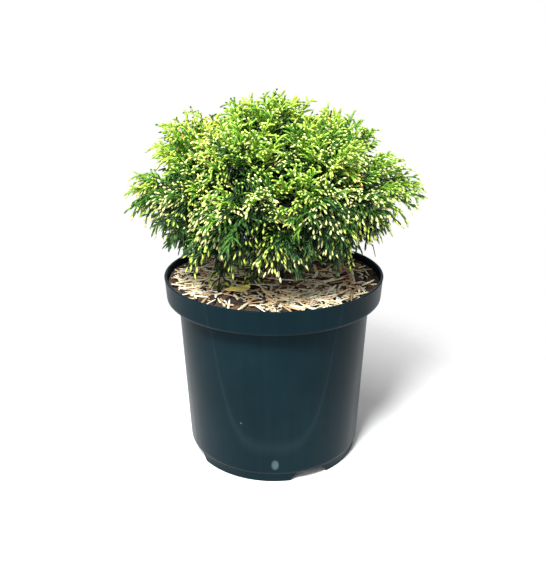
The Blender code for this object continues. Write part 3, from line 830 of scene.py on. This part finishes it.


# Sprays: a stalk with side shoots, each with two fingers, all ending in a pale tip, except the dark green
# tips that are painted shade
sprays = {
    "count": 1180,
    "lowest": -0.86,
    "layers": ((0.880, 0.950, 0.62), (0.76, 0.87, 0.86), (0.58, 0.72, 1.0)),  # tips between, share so far
    "length": (0.026, 0.042),
    "aimReach": 0.85,
    "outward": 0.35,
    "upward": 0.25,
    "aimScatter": 0.16,
    "leastDroop": 0.05,
    "droopGain": 0.26,
    "droopFrom": 0.75,
    "roll": 0.9,
    "stalkGirth": 0.00062,
    "shoots": 7,
    "firstShoot": 0.30,
    "shootLength": 0.0130,
    "shootLengths": (0.75, 1.15),
    "shootSpread": (0.65, 1.05),
    "shootLift": 0.12,
    "shootBend": (0.05, 0.30),
    "girth": 0.00104,
    "girths": (0.9, 1.12),
    "fingerLength": 0.0102,
    "fingerLengths": (0.7, 1.15),
    "fingerGirth": 0.94,
    "fingerRise": 0.45,
    "fingerAside": 0.35,
    "fingerScatter": 0.22,
    "forks": ((0.30, 1), (0.58, -1)),  # place along the shoot, side
    "twigForks": (0.4, 0.7, 1.0),
    "twigGirth": 0.00085,
    "stemGirth": 0.0016,
    "openBelow": 0.05,  # under this height some of the sprays are left out, so the shade shows
    "openShare": 0.30,
    "crevice": 0.20,
    "creviceWidth": 0.022,
    "fringe": (0.004, 0.026, 0.040, 0.040),  # clear over the rim, more further out, from and over this radius
    "tipHang": 0.010,
    # the body of a finger swells and narrows with its crossed pairs of scale leaves
    "bodyStations": ((0.0, 0.70, 0.62), (0.25, 1.0, 0.66), (0.50, 0.70, 0.98), (0.74, 1.02, 0.78)),
    "tipStations": ((0.68, 0.88, 0.82), (0.92, 0.98, 0.84)),
    "tipEnd": 1.07,
    "stalkStations": ((0, 1, 1), (0.35, 1.1, 1.1), (0.7, 1.2, 1.2), (1, 0.9, 0.9)),
    "twigStations": ((0, 1, 1), (0.5, 0.8, 0.8), (1, 0.6, 0.6)),
    "mostTriangles": 190000,  # of one piece
    # sprays that hang down to the mulch: tip from the axis and over the rim, and how far the root leans back
    "hangers": (((-0.054, -0.050, 0.002), (0.006, 0.012)), ((-0.020, -0.030, 0.000), (0.002, 0.012))),
    "hangerRise": 0.034,
    "hangerTwig": 0.03,
    "hangerGirth": 0.0008,
    # thin bare twigs that hang out at the right: start and end over the rim, girth
    "strayTwigs": (
        ((0.070, 0.000, 0.044), (0.089, 0.000, 0.039), 0.0008),
        ((0.089, 0.000, 0.039), (0.101, 0.000, 0.028), 0.0007),
        ((0.101, 0.000, 0.028), (0.1045, 0.000, 0.016), 0.0006),
        ((0.075, 0.004, 0.052), (0.097, 0.004, 0.046), 0.0007),
    ),
    "straySag": 0.08,
}

# Colours of the foliage: shades from the deepest to the brightest, each with its slot. They are lit and
# shaded copies of the green: the darker ones painted shade for the inner layers and the low sides, the
# brighter ones painted light higher up, besides the plant's own yellow-green
foliage = {
    "shades": (
        ((0.0025, 0.012, 0.003), "foliage_deep_green"),
        ((0.009, 0.042, 0.006), "foliage_deep_green"),
        ((0.045, 0.155, 0.014), "foliage_green"),
        ((0.155, 0.345, 0.022), "foliage_green"),
        ((0.330, 0.530, 0.040), "foliage_yellow_green"),
    ),
    "tips": (  # dark green (painted shade on the inner layers and low down), yellow-green, cream and orange
        (0.030, 0.095, 0.016),
        (0.50, 0.64, 0.10),
        (0.86, 0.84, 0.32),
        (0.86, 0.56, 0.14),
    ),
    # painted light and shade: the green brightens with height and darkens for the inner layers
    "light": 1.2,
    "paintedLightRise": 2.6,
    "lightScatter": 0.60,
    "paintedLayerShade": 1.5,
    "paintedWingLight": 0.25,
    "wingReach": 1.1,  # masses that reach further stand out of the mound's shade
    "greenTips": 0.08,
    "moreShadedTips": ((0.02, 0.34), (-0.25, 0.20)),  # under this height, share of more dark tips, painted shade
    "sunlit": 0.35,
    "orangeTips": 0.07,
    "creamTips": (0.30, 0.55),  # share over the sunlit height and under it
    "mottle": (0.72, 1.28),
    "gloss": 0.35,
}


def goldenDirections(count, lowest):
    golden = math.pi * (3.0 - math.sqrt(5.0))
    for index in range(int(count * 2 / (1 - lowest))):
        rise = 1.0 - (2 * index + 1) * (1 - lowest) / 2 / count
        if rise < lowest:
            return
        flat = math.sqrt(1.0 - rise * rise)
        yield Vector((flat * math.sin(golden * index), -flat * math.cos(golden * index), rise))


def leaning(rng, heading, spread):
    return (heading + Vector((rng.gauss(0, spread), rng.gauss(0, spread), rng.gauss(0, spread)))).normalized()


class Strands:
    columns = {"shade": 11, "tip": 12}

    def __init__(self):
        self.rows = []

    def add(self, start, heading, length, radius, bend, shade=0, tip=0):
        self.rows.append((*start, *heading, length, radius, *bend, shade, tip))

    def arrays(self, column=None, value=0):
        table = np.array(self.rows)
        if column:
            table = table[table[:, self.columns[column]] == value]
        return table[:, 0:3], table[:, 3:6], table[:, 6], table[:, 7], table[:, 8:11]


def growSpray(rng, root, tip, droop, shade, tipShade, stalks, fingers):
    s = sprays
    run = tip - root
    length = run.length
    heading = run.normalized()
    sag = Vector((0, 0, -droop))
    stalks.add(root, heading, length, s["stalkGirth"], sag, shade)
    side = heading.cross(up if abs(heading.z) < steepest else Vector((0, 1, 0))).normalized()
    side = Matrix.Rotation(rng.uniform(-s["roll"], s["roll"]), 3, heading) @ side
    girth = s["girth"] * rng.uniform(*s["girths"])
    last = s["shoots"] - 1
    for index in range(s["shoots"]):
        place = s["firstShoot"] + (1.0 - s["firstShoot"]) * index / last
        base = root + (heading * place + sag * place**2) * length
        here = (heading + 2 * place * sag).normalized()
        way = 1 if index % 2 else -1
        spread = 0.0 if index == last else rng.uniform(*s["shootSpread"])
        aim = leaning(rng, here + side * way * spread + up * s["shootLift"], s["aimScatter"])
        long = s["shootLength"] * rng.uniform(*s["shootLengths"]) * (1.15 - 0.35 * place)
        bend = Vector((0, 0, -rng.uniform(*s["shootBend"]) - 0.5 * droop))
        fingers.add(base, aim, long, girth, bend, shade, tipShade)
        for part, turn in s["forks"]:
            fork = base + (aim * part + bend * part**2) * long
            off = aim + side.cross(aim) * s["fingerRise"] * turn + side * way * -s["fingerAside"] * turn
            off = leaning(rng, off, s["fingerScatter"])
            short = s["fingerLength"] * rng.uniform(*s["fingerLengths"])
            fingers.add(fork, off, short, girth * s["fingerGirth"], bend, shade, tipShade)


def dealShade(rng, level, height, layer):
    f = foliage
    # painted light and shade: brighter green higher up, darker green for the inner layers
    light = f["light"] + f["paintedLightRise"] * height + rng.gauss(0, f["lightScatter"]) - f["paintedLayerShade"] * layer
    shade = int(min(max(round(light), 0), len(f["shades"]) - 1))
    # dark green tips on the inner layers and low on the mound are painted shade
    green = f["greenTips"] + sum(share for under, share in f["moreShadedTips"] if level < under)
    if layer or rng.random() < green:
        return shade, 0
    sunlit = height > f["sunlit"]
    if sunlit and rng.random() < f["orangeTips"]:
        return shade, 3
    return shade, 2 if rng.random() < f["creamTips"][0 if sunlit else 1] else 1


def aboveFringe(goal):
    clear, more, start, over = sprays["fringe"]
    away = math.hypot(goal.x, goal.y)
    least = rimHeight + clear + more * min(max((away - start) / over, 0.0), 1.0)
    return goal.z - sprays["tipHang"] > least


# How far a mass reaches in a direction, less the crevice where it meets its neighbour
def reachOf(direction, aim, mass, other):
    away = math.degrees(direction.angle(mass["middle"])) / plant["reachSpread"]
    reach = 1.0 + (mass["reach"] - 1.0) * max(0.0, 1.0 - away**2)
    border = (other["heart"] - aim).length - (mass["heart"] - aim).length
    return reach - sprays["crevice"] * max(0.0, 1.0 - border / sprays["creviceWidth"])


def growMound(rng, masses, stalks, fingers, twigs):
    s = sprays
    for direction in goldenDirections(s["count"], s["lowest"]):
        pick = rng.random()
        layer = sum(pick >= share for _, _, share in s["layers"])
        low, high, _ = s["layers"][layer]
        aim = onMound(direction, s["aimReach"])
        mass, other = sorted(masses, key=lambda mass: (mass["heart"] - aim).length)[:2]
        goal = onMound(direction, reachOf(direction, aim, mass, other) * rng.uniform(low, high))
        if not aboveFringe(goal):
            continue
        if direction.z < s["openBelow"] and rng.random() < s["openShare"]:
            continue
        droop = s["leastDroop"] + s["droopGain"] * max(0.0, s["droopFrom"] - direction.z)
        out = (goal - mass["heart"]).normalized()
        out = out + direction * s["outward"] + up * s["upward"] * (direction.z > 0.1)
        out = leaning(rng, out, s["aimScatter"])
        length = rng.uniform(*s["length"])
        root = goal - out * length + up * droop * length
        height = (goal.z - plant["waist"].z) / plant["rise"]
        # masses that reach out get brighter green, painted light
        lit = foliage["paintedWingLight"] * (mass["reach"] > foliage["wingReach"])
        shade, tipShade = dealShade(rng, direction.z + lit, height + lit, layer)
        growSpray(rng, root, goal + up * droop * length, droop, shade, tipShade, stalks, fingers)
        fork = mass["stem"].lerp(mass["heart"], rng.choice(s["twigForks"]))
        twig = root - fork
        twigs.add(fork, twig.normalized(), twig.length, s["twigGirth"], unbent)


def growStrays(rng, masses, stalks, fingers, twigs):
    s = sprays
    for tip, lean in s["hangers"]:
        goal = Vector((tip[0], tip[1], rimHeight + tip[2]))
        root = goal + Vector((*lean, s["hangerRise"]))
        growSpray(rng, root, goal, s["leastDroop"], 1, 1, stalks, fingers)
        inward = Vector((-tip[0], -tip[1], s["hangerTwig"])).normalized()
        twigs.add(root, inward, s["hangerTwig"], s["hangerGirth"], unbent)
    lift = Vector((0, 0, rimHeight))
    for start, end, girth in s["strayTwigs"]:
        run = Vector(end) - Vector(start)
        twigs.add(Vector(start) + lift, run.normalized(), run.length, girth, Vector((0, 0, -s["straySag"])))
    for mass in masses:
        stem = mass["heart"] - mass["stem"]
        twigs.add(mass["stem"], stem.normalized(), stem.length, s["stemGirth"], unbent)


def leafMaterial(name, colour, roughness=0.5):
    material, shade, shader = newMaterial(name, roughness, Specular_IOR_Level=foliage["gloss"])
    mottle = speckle(shade, objectPlace(shade), 420.0, 2.0)
    darker, lighter = foliage["mottle"]
    dark = tuple(part * darker for part in colour)
    light = tuple(min(part * lighter, 1.0) for part in colour)
    feed(shader, mixed(shade, mottle, dark, light), "Base Color")
    return material


def addStrands(name, strands, stations, apex, material, slotName, nodes):
    points = strandPoints(strands, stations, 4, apex)
    triangles = ringTriangles(len(stations), 4, bool(apex))
    most = sprays["mostTriangles"] // len(triangles)
    parts = max(1, math.ceil(len(points) / most))
    for index, chunk in enumerate(np.array_split(points, parts)):
        addPiece(f"{name}_{index}", joinedCopies(name, chunk, triangles), material, slotName, *nodes)


def makeFoliage(masses, bark):
    s = sprays
    rng = random.Random(41)
    stalks, fingers, twigs = Strands(), Strands(), Strands()
    growMound(rng, masses, stalks, fingers, twigs)
    growStrays(rng, masses, stalks, fingers, twigs)
    print("foliage grown:", len(stalks.rows), "sprays,", len(fingers.rows), "fingers")
    triangles = ringTriangles(len(s["twigStations"]), 5)
    mesh = joinedCopies("twigs", strandPoints(twigs.arrays(), s["twigStations"], 5), triangles)
    addPiece("inner_twigs", mesh, bark, "bark")
    nodes = ["foliage_" + mass["name"] for mass in masses]
    for shade, (colour, slotName) in enumerate(foliage["shades"]):
        material = leafMaterial(f"foliageShade{shade}", colour)
        strands, lines = fingers.arrays("shade", shade), stalks.arrays("shade", shade)
        addStrands(f"fingers_{shade}", strands, s["bodyStations"], None, material, slotName, nodes)
        addStrands(f"stalks_{shade}", lines, s["stalkStations"], None, material, slotName, ())
    tipSlot = "foliage_yellow_green"
    for shade, colour in enumerate(foliage["tips"]):
        material = leafMaterial(f"tipShade{shade}", colour, 0.55)
        strands = fingers.arrays("tip", shade)
        addStrands(f"tips_{shade}", strands, s["tipStations"], s["tipEnd"], material, tipSlot, ())


# Stage, lights and the camera that the photograph fits
view = {
    "distance": 0.6727,
    "heightOverRim": 0.2361,
    "pitch": 20.72,
    "lens": 43.1,
    "shift": -0.0015,
    "floorSize": 12.0,
    "floorColour": (0.94, 0.94, 0.94),
    "fadeFrom": 0.14,  # the floor melts into the white backdrop between these distances from the axis
    "fadeTo": 0.42,
    "horizon": (1.0, 1.0, 1.0),
    "overhead": (0.40, 0.40, 0.40),
    "skyStops": (0.0, 0.12, 0.40),
    "lights": (  # name, place, target, size, power
        ("keyLight", (-0.30, -0.80, 1.30), (0, 0, 0.24), 0.40, 42.0),
        ("frontLight", (-0.9, -1.5, 0.9), (0, 0, 0.15), 0.7, 6.0),
    ),
}


def makeFloor():
    bm = bmesh.new()
    bmesh.ops.create_grid(bm, x_segments=1, y_segments=1, size=view["floorSize"])
    floor = bpy.data.objects.new("floor", meshOf("floor", bm))
    material, shade, shader = newMaterial("paleFloor", 0.9, Base_Color=(*view["floorColour"], 1.0))
    away = lengthOf(shade, objectPlace(shade))
    fade = (view["fadeTo"] - away) * (1.0 / (view["fadeTo"] - view["fadeFrom"]))
    feed(shader, fade.clamped(), "Alpha")
    floor.data.materials.append(material)
    bpy.context.scene.collection.objects.link(floor)


# White at the horizon and dimmer overhead
def makeSky():
    world = bpy.data.worlds.new("softSky")
    world.use_nodes = True
    sky = world.node_tree.nodes["Background"]
    shade = Shade(world.node_tree)
    where = shade.node("ShaderNodeTexCoord", {}, {}, "Generated")
    height = shade.node("ShaderNodeSeparateXYZ", {}, {"Vector": where}, "Z")
    stops = tuple(zip(view["skyStops"], (view["horizon"], view["horizon"], view["overhead"])))
    feed(sky, shade.node("ShaderNodeValToRGB", {"stops": stops}, {0: height}), "Color")
    sky.inputs["Strength"].default_value = 1.0
    bpy.context.scene.world = world


def makeLight(name, place, target, size, power):
    light = bpy.data.lights.new(name, "AREA")
    light.shape = "DISK"
    light.size = size
    light.energy = power
    lamp = bpy.data.objects.new(name, light)
    lamp.location = place
    lamp.rotation_euler = (Vector(target) - Vector(place)).to_track_quat("-Z", "Y").to_euler()
    bpy.context.scene.collection.objects.link(lamp)


def makeCamera():
    camera = bpy.data.objects.new("photoCamera", bpy.data.cameras.new("photoCamera"))
    camera.data.lens = view["lens"]
    camera.data.shift_x = view["shift"]
    camera.location = (0.0, -view["distance"], rimHeight + view["heightOverRim"])
    camera.rotation_euler = (math.radians(90.0 - view["pitch"]), 0.0, 0.0)
    bpy.context.scene.collection.objects.link(camera)
    bpy.context.scene.camera = camera
    bpy.context.scene.view_settings.view_transform = "Standard"


makeFloor()
makeSky()
for light in view["lights"]:
    makeLight(*light)
makeCamera()
print("stage set")
makePot()
dressSoil()
makeBed()
makeLooseMulch()
makeLeaf()
print("mulch laid")
masses = growMasses()
bark = barkMaterial()
makeLimbs(masses, bark)
print("trunk and boughs made")
makeFoliage(masses, bark)
print("foliage made")
